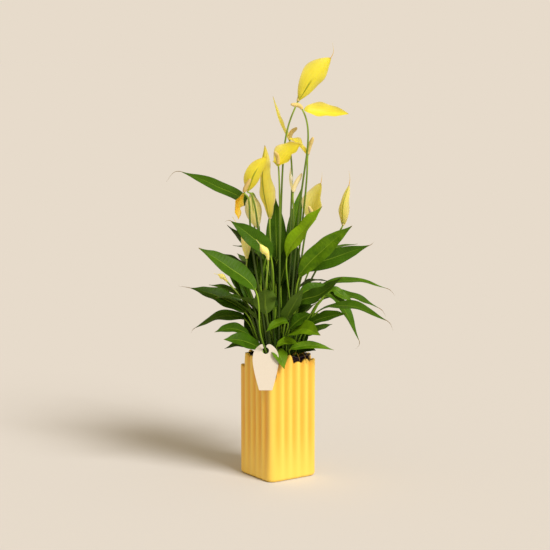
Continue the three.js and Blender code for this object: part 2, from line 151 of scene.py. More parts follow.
def tubeShape(points, t, radius, values, sides=16, material=0, knobs=None):
    # a round section of changing radius carried along the curve, started from a direction no stem takes
    place, forward = curveAt(points, t)
    side, face = frameAlong(forward, np.array([0.31, -0.95, 0.07]), 0)
    angle = np.linspace(0, 2 * math.pi, sides, endpoint=False)
    r = np.broadcast_to(radius[:, None], (len(t), sides))
    if knobs is not None:
        r = r * knobs(angle[None], np.linspace(0, 1, len(t))[:, None])
    rings = ringsAlong(place, side, face, r * np.cos(angle), r * np.sin(angle))
    return closedGrid(turned(rings), values, material)


def signedVolume(shape):
    p, q, t = shape["points"], shape["quads"], shape["tris"]
    faces = np.vstack([t, q[:, [0, 1, 2]], q[:, [0, 2, 3]]])
    return np.einsum("ij,ij->i", p[faces[:, 0]], np.cross(p[faces[:, 1]], p[faces[:, 2]])).sum()


def addPiece(name, shapes, materials, nodes=()):
    # one mesh object from closed shapes, each with its own material and per-point values
    offset, points, loops, starts, mats = 0, [], [], [], []
    start = 0
    names = sorted({key for shape in shapes for key in shape["values"]})
    values = {key: [] for key in names}
    for shape in shapes:
        quads, tris = shape["quads"], shape["tris"]
        if signedVolume(shape) < 0:
            quads, tris = quads[:, ::-1], tris[:, ::-1]
        points.append(shape["points"])
        for faces in (quads, tris):
            size = faces.shape[1]
            loops.append((faces + offset).ravel())
            starts.append(start + size * np.arange(len(faces)))
            mats.append(np.full(len(faces), shape["material"]))
            start += faces.size
        for key in names:
            empty = np.zeros(len(shape["points"]))
            values[key].append(shape["values"].get(key, empty))
        offset += len(shape["points"])
    points, loops = np.concatenate(points), np.concatenate(loops)
    starts, mats = np.concatenate(starts), np.concatenate(mats)
    mesh = bpy.data.meshes.new(name)
    mesh.vertices.add(len(points))
    mesh.vertices.foreach_set("co", points.astype(np.float32).ravel())
    mesh.loops.add(len(loops))
    mesh.loops.foreach_set("vertex_index", loops.astype(np.int32))
    mesh.polygons.add(len(starts))
    mesh.polygons.foreach_set("loop_start", starts.astype(np.int32))
    mesh.polygons.foreach_set("material_index", mats.astype(np.int32))
    mesh.polygons.foreach_set("use_smooth", np.ones(len(starts), bool))
    for key in names:
        layer = mesh.attributes.new(key, "FLOAT", "POINT")
        layer.data.foreach_set("value", np.concatenate(values[key]).astype(np.float32))
    mesh.update(calc_edges=True)
    for material in materials:
        mesh.materials.append(material)
    piece = bpy.data.objects.new(name, mesh)
    bpy.context.scene.collection.objects.link(piece)
    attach(piece, "root")
    if nodes:
        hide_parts(*nodes)


# materials

def linear(hexColour):
    channels = [int(hexColour[i:i + 2], 16) / 255 for i in (1, 3, 5)]
    return tuple(c / 12.92 if c <= 0.04045 else ((c + 0.055) / 1.055) ** 2.4 for c in channels) + (1.0,)


def feed(node, inputs):
    # each input is a number, a hex colour or another node's output
    for name, value in inputs.items():
        socket = node.inputs[name]
        if isinstance(value, bpy.types.NodeSocket):
            node.id_data.links.new(value, socket)
        else:
            socket.default_value = linear(value) if isinstance(value, str) else value


def addNode(tree, kind, *values, inputs=None, output=None, ramp=(), **settings):
    # a node with its settings; values fill the sockets that those settings leave in use, in their order
    made = tree.nodes.new("ShaderNode" + kind)
    for name, value in settings.items():
        setattr(made, name, value)
    for number, (spot, colour) in enumerate(ramp):
        stops = made.color_ramp.elements
        stop = stops[number] if number < len(stops) else stops.new(spot)
        stop.position, stop.color = spot, linear(colour)
    inUse = [index for index, socket in enumerate(made.inputs) if socket.enabled]
    feed(made, dict(zip(inUse, values)))
    feed(made, inputs or {})
    return made.outputs[output] if output else next(socket for socket in made.outputs if socket.enabled)


def newMaterial(name, settings):
    # a material, its shader and the function that adds nodes to it
    material = bpy.data.materials.new(name)
    material.use_nodes = True
    shader = material.node_tree.nodes["Principled BSDF"]
    feed(shader, settings)
    return material, shader, partial(addNode, material.node_tree)


leafLook = {
    "young": "#88b516",
    "mid": "#40680a",
    "old": "#1f3804",
    "under": "#5d762c",
    "rib": "#9fbf3c",
    "vein": "#6f9426",
    "dryTip": "#8a6a30",
    "stem": ["#20330a", "#3c5a12", "#6f9424", "#93b838"],  # from the soil to the blade, dark at the soil as painted shade
    "mottles": 60,  # per metre, as are all the counts of patterns below
    "pores": 900,
}


def leafTissue():
    # living leaf: waxy cuticle over green tissue, glossy above, duller and paler below, with paler veins; its
    # stem is darkened towards the soil as painted shade
    material, shader, add = newMaterial("waxy leaf", {"IOR": 1.45, "Specular IOR Level": 0.13})
    names = ("tone", "along", "under", "across", "vein")
    tone, along, under, across, vein = (add("Attribute", attribute_name=n, output="Fac") for n in names)
    across = add("Math", across, operation="ABSOLUTE")
    place = add("TexCoord", output="Object")
    mottle = add("TexNoise", place, leafLook["mottles"], 4, 0.5)
    shade = add("Math", mottle, 0.5, operation="SUBTRACT")
    shade = add("Math", shade, 0.45, tone, operation="MULTIPLY_ADD", use_clamp=True)
    base = add("ValToRGB", shade, ramp=[(0, leafLook["old"]), (0.5, leafLook["mid"]), (1, leafLook["young"])])
    vein = add("Math", vein, 2 * math.pi, operation="MULTIPLY")
    vein = add("Math", vein, operation="SINE")
    line = add("Math", add("MapRange", vein, 0.75, 1), 0.22, operation="MULTIPLY")
    # the underside of a young leaf is nearly as bright as its top
    below = add("Math", under, add("MapRange", tone, 0.5, 0.95, 0.6, 0.15), operation="MULTIPLY")
    # the midrib is a narrow pale line that fades towards the tip
    rib = add("MapRange", across, 0.012, 0.045, 1, 0)
    rib = add("Math", rib, add("MapRange", along, 0, 0.9, 0.75, 0.15), operation="MULTIPLY")
    # the stem runs from dark at the soil to light at the blade: the dark lower part is painted shade
    stem = add("Math", along, 0.9, 1, operation="MULTIPLY_ADD")
    stem = add("ValToRGB", stem, ramp=list(zip((0.1, 0.45, 0.8, 1), leafLook["stem"])))
    onStem = add("MapRange", along, -0.02, 0.03, 1, 0)
    tip = add("MapRange", along, 0.95, 1, 0, 0.8)
    shares = (line, below, rib, onStem, tip)
    colours = (leafLook["vein"], leafLook["under"], leafLook["rib"], stem, leafLook["dryTip"])
    for share, colour in zip(shares, colours):
        base = add("Mix", share, base, colour, data_type="RGBA")
    gloss = add("Math", under, 0.2, 0.34, operation="MULTIPLY_ADD")
    gloss = add("Math", mottle, 0.15, gloss, operation="MULTIPLY_ADD")
    pores = add("TexNoise", place, leafLook["pores"], 2, 0.5)
    relief = add("Math", vein, -0.35, pores, operation="MULTIPLY_ADD")
    bump = add("Bump", inputs={"Height": relief, "Strength": 0.35, "Distance": 0.6 * mm})
    feed(shader, {"Base Color": base, "Roughness": gloss, "Normal": bump})
    return material


# low is painted shade on the stalk's lower part, among the leaves; high is the stalk's own yellow-green near
# the flower
stalkLook = {"low": "#33490f", "middle": "#68881f", "high": "#a3c23e", "streak": "#5d7a1e", "streaks": 300}


def stalkTissue():
    # smooth waxy flower stalk, yellower towards the flower and darkened towards the soil as painted shade,
    # with faint lengthwise ridges
    material, shader, add = newMaterial("waxy flower stalk", {"IOR": 1.45, "Roughness": 0.4})
    along = add("Attribute", attribute_name="along", output="Fac")
    # dark at the foot as painted shade, yellow-green towards the flower
    stops = [(0.2, stalkLook["low"]), (0.6, stalkLook["middle"]), (1, stalkLook["high"])]
    base = add("ValToRGB", along, ramp=stops)
    place = add("Mapping", inputs={"Vector": add("TexCoord", output="Object"), "Scale": (1, 1, 0.05)})
    streak = add("TexNoise", place, stalkLook["streaks"], 3, 0.5)
    share = add("Math", streak, 0.3, operation="MULTIPLY")
    base = add("Mix", share, base, stalkLook["streak"], data_type="RGBA")
    bump = add("Bump", inputs={"Height": streak, "Strength": 0.3, "Distance": 0.4 * mm})
    feed(shader, {"Base Color": base, "Normal": bump})
    return material


spatheLook = {
    "fresh": "#ffe840",
    "pale": "#fdf6c8",
    "deep": "#f6bd22",
    "vein": "#9aae2e",
    "rib": "#6f8c1a",
    "dry": "#bd6f16",
    "mottles": 120,
    "crinkles": 500,
    "veins": 26,  # radians of the vein pattern from the midrib to the margin
}


def spatheTissue():
    # thin petal-like hood: soft satin yellow that light passes through, with green main veins from the base,
    # browned at the margin as it ages
    material, shader, add = newMaterial("satin spathe", {
        "IOR": 1.4, "Roughness": 0.5, "Subsurface Weight": 0.75, "Subsurface Radius": (1, 0.85, 0.35),
        "Subsurface Scale": 4 * mm})
    names = ("along", "age", "pale", "green", "across")
    along, age, pale, green, side = (add("Attribute", attribute_name=n, output="Fac") for n in names)
    across = add("Math", side, operation="ABSOLUTE")
    place = add("TexCoord", output="Object")
    mottle = add("TexNoise", place, spatheLook["mottles"], 4, 0.5)
    shade = add("Math", mottle, 0.5, operation="SUBTRACT", use_clamp=True)
    shade = add("Math", shade, 0.8, operation="MULTIPLY")
    shade = add("Math", age, 0.5, shade, operation="MULTIPLY_ADD", use_clamp=True)
    lines = add("Math", add("Math", side, spatheLook["veins"], operation="MULTIPLY"), operation="SINE")
    line = add("MapRange", lines, 0.8, 1)
    line = add("Math", line, add("MapRange", along, 0, 0.75, 0.3, 0.03), operation="MULTIPLY")
    # a strong green rib along the back, as far up as the flower's green value says
    rib = add("MapRange", across, 0.05, 0.13, 0.9, 0)
    reach = add("MapRange", add("Math", along, green, operation="SUBTRACT"), -0.15, 0, 1, 0)
    rib = add("Math", rib, reach, operation="MULTIPLY")
    # the tip dries to orange, and an old spathe dries all over
    old = add("Math", mottle, 0.5, age, operation="MULTIPLY_ADD")
    old = add("MapRange", old, 0.65, 1.15, 0, 0.8)
    dry = add("Math", add("MapRange", along, 0.93, 1, 0, 0.6), old, operation="MAXIMUM")
    foot = add("MapRange", along, 0, 0.12, 0.7, 0)
    edge = add("MapRange", add("Math", mottle, 0.5, across, operation="MULTIPLY_ADD"), 1.2, 1.38)
    edge = add("Math", edge, age, operation="MULTIPLY", use_clamp=True)
    base = spatheLook["fresh"]
    shares = (pale, shade, line, rib, dry, foot, edge)
    for share, colour in zip(shares, ("pale", "deep", "vein", "rib", "dry", "vein", "dry")):
        base = add("Mix", share, base, spatheLook[colour], data_type="RGBA")
    crinkle = add("TexNoise", place, spatheLook["crinkles"], 3, 0.5)
    relief = add("Math", lines, 0.4, crinkle, operation="MULTIPLY_ADD")
    bump = add("Bump", inputs={"Height": relief, "Strength": 0.22, "Distance": 0.5 * mm})
    feed(shader, {"Base Color": base, "Normal": bump})
    return material


# gap is painted shade between the tiny flowers; flank and knob are their yellow and cream
spadixLook = {"gap": "#8c7c2c", "flank": "#e0c868", "knob": "#f7ecc0", "pale": "#f6efc8", "old": "#a8741f",
              "grains": 1200}


def spadixFlesh():
    # the spadix: packed tiny flowers, cream to yellow, with painted shade darkening the gaps between them
    material, shader, add = newMaterial("knobbly spadix", {"IOR": 1.4, "Roughness": 0.6})
    knob, pale, age = (add("Attribute", attribute_name=n, output="Fac") for n in ("knob", "pale", "age"))
    # the colour follows the bumps: painted shade in the gaps, cream on the tops of the tiny flowers
    stops = [(0, spadixLook["gap"]), (0.4, spadixLook["flank"]), (1, spadixLook["knob"])]
    base = add("ValToRGB", knob, ramp=stops)
    for value, most, colour in ((pale, 0.7, "pale"), (age, 0.4, "old")):
        share = add("Math", value, most, operation="MULTIPLY")
        base = add("Mix", share, base, spadixLook[colour], data_type="RGBA")
    grain = add("TexNoise", add("TexCoord", output="Object"), spadixLook["grains"], 4, 0.5)
    bump = add("Bump", inputs={"Height": grain, "Strength": 0.3, "Distance": 0.4 * mm})
    feed(shader, {"Base Color": base, "Normal": bump})
    return material


# the groove colour is painted shade: the grooves take a deeper orange than the ridges
glazeLook = {"ridge": "#fcd75e", "groove": "#f3b53c", "roughness": 0.38, "drifts": 25, "grains": 700}


def satinGlaze():
    # coloured satin glaze on slip-cast earthenware, paler on the ridges and darker orange in the grooves as
    # painted shade
    material, shader, add = newMaterial("satin glazed earthenware", {"IOR": 1.5})
    groove = add("Attribute", attribute_name="groove", output="Fac")
    place = add("TexCoord", output="Object")
    drift = add("TexNoise", place, glazeLook["drifts"], 3, 0.5)
    share = add("Math", drift, 0.5, operation="SUBTRACT")
    # the deeper the groove, the more of the painted shade colour
    share = add("Math", share, 0.15, groove, operation="MULTIPLY_ADD", use_clamp=True)
    base = add("Mix", share, glazeLook["ridge"], glazeLook["groove"], data_type="RGBA")
    grain = add("TexNoise", place, glazeLook["grains"], 3, 0.5)
    gloss = add("Math", grain, 0.12, glazeLook["roughness"], operation="MULTIPLY_ADD")
    bump = add("Bump", inputs={"Height": grain, "Strength": 0.12, "Distance": 0.3 * mm})
    feed(shader, {"Base Color": base, "Roughness": gloss, "Normal": bump})
    return material


plasticLook = {"dark": "#1b131b", "light": "#33263a", "flows": 60, "grains": 400}


def moulded():
    # thin vacuum-formed polypropylene: near black, shiny, with faint flow marks
    material, shader, add = newMaterial("vacuum-formed polypropylene", {"IOR": 1.49})
    place = add("TexCoord", output="Object")
    flow = add("TexNoise", place, plasticLook["flows"], 3, 0.5)
    base = add("Mix", flow, plasticLook["dark"], plasticLook["light"], data_type="RGBA")
    gloss = add("Math", flow, 0.15, 0.1, operation="MULTIPLY_ADD")
    grain = add("TexNoise", place, plasticLook["grains"], 4, 0.5)
    bump = add("Bump", inputs={"Height": grain, "Strength": 0.1, "Distance": 0.3 * mm})
    feed(shader, {"Base Color": base, "Roughness": gloss, "Normal": bump})
    return material


peatLook = {"wet": "#160f09", "crumb": "#3b2819", "fibre": "#6b4c30", "crumbs": 350}


def peat():
    # moist peat potting mix: dark brown crumbs with paler fibres
    material, shader, add = newMaterial("moist peat", {"Roughness": 0.9})
    crumb = add("TexNoise", add("TexCoord", output="Object"), peatLook["crumbs"], 6, 0.65)
    stops = [(0.3, peatLook["wet"]), (0.55, peatLook["crumb"]), (0.72, peatLook["fibre"])]
    base = add("ValToRGB", crumb, ramp=stops)
    bump = add("Bump", inputs={"Height": crumb, "Strength": 0.8, "Distance": 2 * mm})
    feed(shader, {"Base Color": base, "Normal": bump})
    return material


boardLook = {"pulp": "#d0cac0", "fibre": "#dfdad1", "fibres": 500}


def pulpBoard():
    # uncoated pulp board: cream, matt, with faint fibres
    material, shader, add = newMaterial("uncoated pulp board", {"Roughness": 0.75})
    fibre = add("TexNoise", add("TexCoord", output="Object"), boardLook["fibres"], 5, 0.6)
    base = add("Mix", fibre, boardLook["pulp"], boardLook["fibre"], data_type="RGBA")
    bump = add("Bump", inputs={"Height": fibre, "Strength": 0.15, "Distance": 0.2 * mm})
    feed(shader, {"Base Color": base, "Normal": bump})
    return material


leafSkin = leafTissue()
stalkSkin = stalkTissue()
spatheSkin = spatheTissue()
spadixSkin = spadixFlesh()
glaze = satinGlaze()
blackPlastic = moulded()
pottingSoil = peat()
tagBoard = pulpBoard()
print("materials made")


# planter

planter = {
    "cornerRadius": 18,
    "footRadius": 7,
    "ribsPerSide": 4,
    "ribPitch": 19.5,
    "ribDepth": 3,
    "ribFade": 110,  # height over which the ribs grow out of the plain foot
    "rimLobe": 4,
    "wall": 4.5,
    "floor": 8,
    "stepsPerRib": 16,
    "stepsPerCorner": 32,
}
# how far each rib's rounded top stands over the rim's height: four ribs and a corner for each side
rimRises = np.array([4, 14, -2, 2, 0, 8, 2, 11, 4, 0, 9, 3, 6, 10, -16, 11, 8, 3, 1, 2])


def ribbedOutline():
    # once round a rounded square: place, outward direction, how deep in a valley, and the rim's height
    half, radius = planterWidth / 2, planter["cornerRadius"]
    straight = half - radius
    grooveEnd = planter["ribsPerSide"] / 2 * planter["ribPitch"]
    cornerLength = 2 * (straight - grooveEnd) + math.pi / 2 * radius
    ribs, perRib, perCorner = planter["ribsPerSide"], planter["stepsPerRib"], planter["stepsPerCorner"]
    ribStep = np.arange(ribs * perRib) / perRib
    cornerStep = np.arange(perCorner) / perCorner
    along = np.concatenate([ribStep * planter["ribPitch"] - grooveEnd, grooveEnd + cornerStep * cornerLength])
    across = np.tile(np.concatenate([ribStep % 1, cornerStep]), 4)
    rib = np.concatenate([np.floor(ribStep), np.full(perCorner, ribs)]).astype(int)
    rib = (rib + (ribs + 1) * np.arange(4)[:, None]).ravel()
    past = np.maximum(0, along - straight)
    turn = np.minimum(past / radius, math.pi / 2)
    after = np.maximum(0, past - math.pi / 2 * radius)
    x = np.minimum(along, straight) + radius * np.sin(turn)
    y = -straight - radius * np.cos(turn) + after
    outX, outY = np.sin(turn), -np.cos(turn)
    quarters = np.repeat(np.arange(4) * math.pi / 2, len(along))
    c, s = np.cos(quarters), np.sin(quarters)
    x, y, outX, outY = (np.tile(v, 4) for v in (x, y, outX, outY))
    place = np.stack([x * c - y * s, x * s + y * c], -1)
    outward = np.stack([outX * c - outY * s, outX * s + outY * c], -1)
    valley = (1 + np.cos(2 * math.pi * across)) / 2
    beside = rimRises[(rib + np.where(across < 0.5, -1, 1)) % len(rimRises)]
    groove = np.minimum(rimRises[rib], beside) - planter["rimLobe"]
    top = rimHeight + lerp(groove, rimRises[rib], np.sin(math.pi * across))
    return place, outward, valley, top


def planterPiece():
    # the ribbed outline carried up the wall, over the scalloped rim and down the plain inside
    place, outward, valley, top = ribbedOutline()
    inside = planter["ribDepth"] + planter["wall"]
    foot, rimRound, depth = planter["footRadius"], planter["wall"] / 2, planter["ribDepth"]
    rings, grooveShadeShares = [], []

    def ring(inset, height, grooveShadeShare):
        xy = place - outward * np.broadcast_to(inset, len(place))[:, None]
        rings.append(np.column_stack([xy, np.broadcast_to(height, len(place))]))
        grooveShadeShares.append(grooveShadeShare)

    def growth(height):
        return lerp(0.2, 1, smooth(height / planter["ribFade"]))

    for angle in np.linspace(0, math.pi / 2, 10):
        height = foot * (1 - math.cos(angle))
        share = growth(height)
        ring(valley * depth * share + foot * (1 - math.sin(angle)), height, valley * share)
    for share in np.linspace(0.04, 1, 24):
        height = lerp(foot, top - rimRound, share)
        ring(valley * depth * growth(height), height, valley * growth(height))
    for angle in np.linspace(0, math.pi, 13)[1:]:
        height = top - rimRound + rimRound * math.sin(angle)
        share = (1 - math.cos(angle)) / 2
        ring(lerp(valley * depth, inside, share), height, valley * (1 - share))
    for share in np.linspace(0, 1, 6)[1:]:
        ring(inside, lerp(top - rimRound, planter["floor"], share), 0 * valley)
    points = np.stack(rings) * mm
    # the groove value darkens the glaze in the valleys as painted shade
    shape = closedGrid(points, {"groove": np.stack(grooveShadeShares)})
    addPiece("planter_glazed", [shape], [glaze], ["planter"])


planterPiece()


# nursery pot and soil

liner = {"wall": 1.2, "lipThickness": 3.0, "cornerRadius": 9, "lipReach": 2, "sag": 4.0, "taper": 7}
# the stems' feet are set out for a pot 47 mm wide inside from its middle, and moved out or in with it
seatScale = (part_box("nursery_pot")[1].x / mm - liner["lipReach"] - liner["wall"]) / 47


def valueNoise(x, y, cell, seed):
    # smooth random hills: random heights on a grid of cells, blended with an S curve
    table = np.random.default_rng(seed).random((64, 64))
    u, v = x / cell + 20, y / cell + 20
    i, j = np.floor(u).astype(int), np.floor(v).astype(int)
    f, g = smooth(u - i), smooth(v - j)
    a, b = table[i % 64, j % 64], table[(i + 1) % 64, j % 64]
    c, d = table[i % 64, (j + 1) % 64], table[(i + 1) % 64, (j + 1) % 64]
    return lerp(lerp(a, b, f), lerp(c, d, f), g)


def squareRing(half, radius, height, perCorner=10, perSide=6):
    # a rounded square of points at one height, with points along its straight sides too
    turn = np.linspace(0, math.pi / 2, perCorner)
    straight = half - radius
    sides = np.linspace(-1, 1, perSide + 2)[1:-1] * straight
    corner = np.stack([straight + radius * np.cos(turn), straight + radius * np.sin(turn)], -1)
    side = np.stack([-sides, np.full(len(sides), half)], -1)
    quarter = np.vstack([corner, side])
    ring = []
    for k in range(4):
        c, s = math.cos(k * math.pi / 2), math.sin(k * math.pi / 2)
        ring.append(quarter @ np.array([[c, s], [-s, c]]))
    ring = np.vstack(ring)
    return np.column_stack([ring, np.full(len(ring), height)])


def nurseryPotPiece():
    # a thin tapered square tub with a rolled lip
    low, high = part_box("nursery_pot")
    lip, bottom, top = high.x / mm, low.z / mm, high.z / mm
    half = lip - liner["lipReach"]
    foot = half - liner["taper"]
    wall, thick = liner["wall"], liner["lipThickness"]
    lipMiddle = top - thick / 2
    profile = [(foot - 2, bottom), (foot, bottom + 2), (half, top - thick - 8), (half + 0.1, top - thick)]
    for angle in np.linspace(-0.8, math.pi / 2, 7):
        out, up = math.cos(angle), math.sin(angle)
        profile.append((lip - thick / 2 + thick / 2 * out, lipMiddle + thick / 2 * up))
    profile += [(half + 0.8, top), (half - 0.6, top - 0.5), (half - wall, top - 2.2)]
    profile += [(foot - wall, bottom + wall + 1), (foot - wall - 2, bottom + wall)]
    rings = np.stack([squareRing(h, max(3, liner["cornerRadius"] + h - half), z, 14, 26) for h, z in profile])
    # the soft lip is pushed up and down a little by handling
    lifted = smooth((rings[..., 2] - (top - 14)) / 12)
    rings[..., 2] += lifted * liner["sag"] * 2 * (valueNoise(rings[..., 0], rings[..., 1], 14, 5) - 0.2)
    addPiece("nursery_pot_tub", [closedGrid(rings * mm)], [blackPlastic], ["nursery_pot"])


nurseryPotPiece()


# how wide and how high the hills on the soil are
soilHills = [(11, 2.2), (4.2, 1.6), (1.7, 0.8)]


def soilPiece():
    # rings shrink towards the middle, and hills of three sizes lift the top
    low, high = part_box("soil")
    half, top, bottom = high.x / mm, high.z / mm, low.z / mm
    rings = [squareRing(half - 7, 5, bottom), squareRing(half - 0.4, 7, top - 2)]
    for share in np.linspace(1, 0.02, 26):
        rings.append(squareRing((half - 2) * share, 5 * share, top - 0.3))
    rings = np.stack(rings)
    x, y = rings[..., 0], rings[..., 1]
    hills = sum(valueNoise(x, y, cell, seed) * rise for seed, (cell, rise) in enumerate(soilHills, 1))
    hills[:2] = 0
    rings[..., 2] += hills - np.where(np.arange(len(rings)) < 2, 0, 1.6)[:, None]
    addPiece("soil_surface", [closedGrid(rings * mm)], [pottingSoil], ["soil"])


soilPiece()
print("planter, nursery pot and soil made")


# leaves

leafSize = {
    "petioleRadius": 1.9,
    "petioleTop": 1.4,
    "thickness": 0.5,
    "fold": 0.22,
    "veinSpacing": 7.0,  # millimetres between side veins
    "twist": 12,  # degrees, the most a blade turns either way on its way to the tip
    "waves": (1.6, 3.0),  # how many waves a margin has
    "waveHeight": (0.06, 0.16),  # shares of half the width
    "ribWidth": 0.07,
    "veinRelief": 0.16,
}
# rows along the blade and the stem, and columns across the upper side
fullDetail = {"blade": 100, "petiole": 24, "columns": 17}
smallDetail = {"blade": 70, "petiole": 14, "columns": 13}


def around(heading, distance, overRim):
    angle = math.radians(heading)
    return np.array([distance * math.cos(angle), distance * math.sin(angle), rimHeight + overRim])


def placeOf(point):
    # sideways, depth and height over the rim
    return np.array([point[0], point[1], rimHeight + point[2]], float)


def bladeOutline(along):
    # a full belly below the middle and a long drawn-out tip
    body = np.maximum(0, np.sin(math.pi * np.clip(along, 0, 1) ** 0.72)) ** 0.85 * (1 - 0.12 * along)
    return body * (1 - 0.3 * smooth((along - 0.75) / 0.2) * (1 - smooth((along - 0.95) / 0.05)))


def threadShape(root, before, end, radius, values):
    # a fine dried thread that carries on from a tip, tapering to nothing
    middle = root + unit(root - before) * np.linalg.norm(end - root) * 0.45
    points = [before, root, (middle + lerp(root, end, 0.5)) / 2, end]
    t = np.linspace(0.3, 1, 26)
    return tubeShape(points, t, lerp(radius, 0.12, smooth((t - 0.3) / 0.7)), values, 8)


def ringColumns(upperCount):
    # angles round a stem for the upper and then the under side, and the matching places across a blade
    upper = np.linspace(-math.pi / 2, math.pi / 2, upperCount)
    lower = upper[-2:0:-1]
    angle = np.concatenate([upper, lower])
    isUnder = np.concatenate([np.zeros(upperCount), np.ones(upperCount - 2)])
    return angle, isUnder


def leafShape(spec, seed, detail):
    # a round stem carried along a curve and flattened into a folded blade with wavy margins and veins
    foot, bends = spec["foot"], spec.get("bends")
    width, arch, roll, tone = spec["width"], spec["arch"], spec["roll"], spec["tone"]
    draw = np.random.default_rng(seed)
    seat = around(foot[0], foot[1] * seatScale, 0)
    seat[2] = soilHeight - 1
    bladeStart, bladeEnd = spec.get("startPlace"), spec.get("endPlace")
    bladeStart = around(*spec["start"]) if bladeStart is None else placeOf(bladeStart)
    bladeEnd = around(*spec["end"]) if bladeEnd is None else placeOf(bladeEnd)
    knee = lerp(seat, bladeStart, np.array([0.35, 0.35, 0.52]))
    bends = [placeOf(bend) for bend in bends] if bends else [knee]
    middle = (bladeStart + bladeEnd) / 2 + np.array([0, 0, arch])
    points = [seat, *bends, bladeStart, middle, bladeEnd]
    startAt = (len(points) - 3) / (len(points) - 1)
    outward = (bladeEnd - bladeStart) * np.array([1, 1, 0])
    facing = np.array([0, 0, 1.0]) - 0.3 * unit(outward)
    petiole = np.linspace(0, 1, detail["petiole"] * len(bends))
    blade = np.linspace(0, 1, detail["blade"] + 1)[1:]
    t = np.concatenate([petiole * startAt, lerp(startAt, 1, blade)])
    along = np.concatenate([petiole - 1, blade])
    onBlade = np.clip(along, 0, 1)
    place, forward = curveAt(points, t)
    twist = draw.uniform(-leafSize["twist"], leafSize["twist"]) * onBlade
    side, face = frameAlong(forward, facing, roll + twist)
    radius = lerp(leafSize["petioleRadius"] * 1.15, leafSize["petioleTop"], np.clip(along + 1, 0, 1))
    flat = smooth(onBlade * 14)
    belly = width / 2 * bladeOutline(onBlade)
    halfWidth = np.maximum(np.sqrt(belly**2 + (radius * (1 - flat)) ** 2), 0.35)
    halfThick = lerp(radius, leafSize["thickness"] / 2, flat)
    angle, isUnder = ringColumns(detail["columns"])
    # closer together at the midrib and at the margins
    spread = np.linspace(-1, 1, detail["columns"])
    spread = np.sign(spread) * smooth(np.abs(spread))
    spread = np.concatenate([spread, spread[-2:0:-1]])
    across = lerp(np.sin(angle)[None], spread[None], flat[:, None])
    sign = np.where(isUnder > 0, -1, 1)[None]
    edge = np.abs(across)
    roundness = lerp(np.cos(angle)[None], np.sqrt(np.maximum(0, 1 - edge**2)), flat[:, None])
    length = np.linalg.norm(bladeEnd - bladeStart)
    sweep = (0.45 * edge + 0.35 * edge**2) * width
    veins = (onBlade[:, None] * length - sweep) / leafSize["veinSpacing"]
    rib = np.exp(-((edge / leafSize["ribWidth"]) ** 2)) * flat[:, None] * (1 - onBlade[:, None] * 0.7)
    lift = sign * halfThick[:, None] * roundness
    lift = lift - rib * np.where(isUnder > 0, 0.9, 0.45)[None]
    lift = lift + leafSize["fold"] * halfWidth[:, None] * edge**1.15 * flat[:, None]
    waves = draw.uniform(*leafSize["waves"])
    phase = draw.uniform(0, 6.28, 2)
    wavy = np.sin(2 * math.pi * waves * onBlade[:, None] + np.where(across > 0, phase[0], phase[1]))
    lift = lift + wavy * edge**2 * halfWidth[:, None] * draw.uniform(*leafSize["waveHeight"])
    relief = leafSize["veinRelief"] * np.cos(2 * math.pi * veins) * edge * (1 - edge) * 4
    lift = lift + relief * flat[:, None] * np.minimum(1, halfWidth / 12)[:, None]
    rings = ringsAlong(place, side, face, across * halfWidth[:, None], lift)
    values = {
        "across": across * flat[:, None] + (1 - flat[:, None]) * 0.5,
        "along": along[:, None],
        "under": isUnder[None] * flat[:, None],
        "tone": tone,
        "vein": veins,
    }
    return closedGrid(turned(rings), values)


# the care tag leans on the planter's near corner, and one leaf's stem passes through its hole
tagSize = {
    "width": 52,
    "length": 92,
    "footWidth": 27,
    "widestFromTop": 30,
    "thickness": 1.4,
    "holeRadius": 6.5,
    "holeFromTop": 13.5,
    "slit": 2.4,
    "horn": 4,
    "hornWidth": 8,
    "lean": 15,
    "sideways": -24,
    "holeOverRim": 26,
    "gap": 0.3,
}
tagLean = math.radians(tagSize["lean"])
cornerCentre = math.sqrt(2) * (planterWidth / 2 - planter["cornerRadius"])
nearCorner = cornerCentre * math.cos(math.radians(45) + clumpTurn) + planter["cornerRadius"] + tagSize["gap"]
nearCorner += tagSize["thickness"] / 2
tagDepth = tagSize["holeOverRim"] * math.tan(tagLean) - nearCorner
tagHole = (tagSize["sideways"], tagDepth, tagSize["holeOverRim"])
besideHole = [tuple(np.add(tagHole, step)) for step in ((9, 27, -28), (0, 0, 0), (-11, -17, 43))]

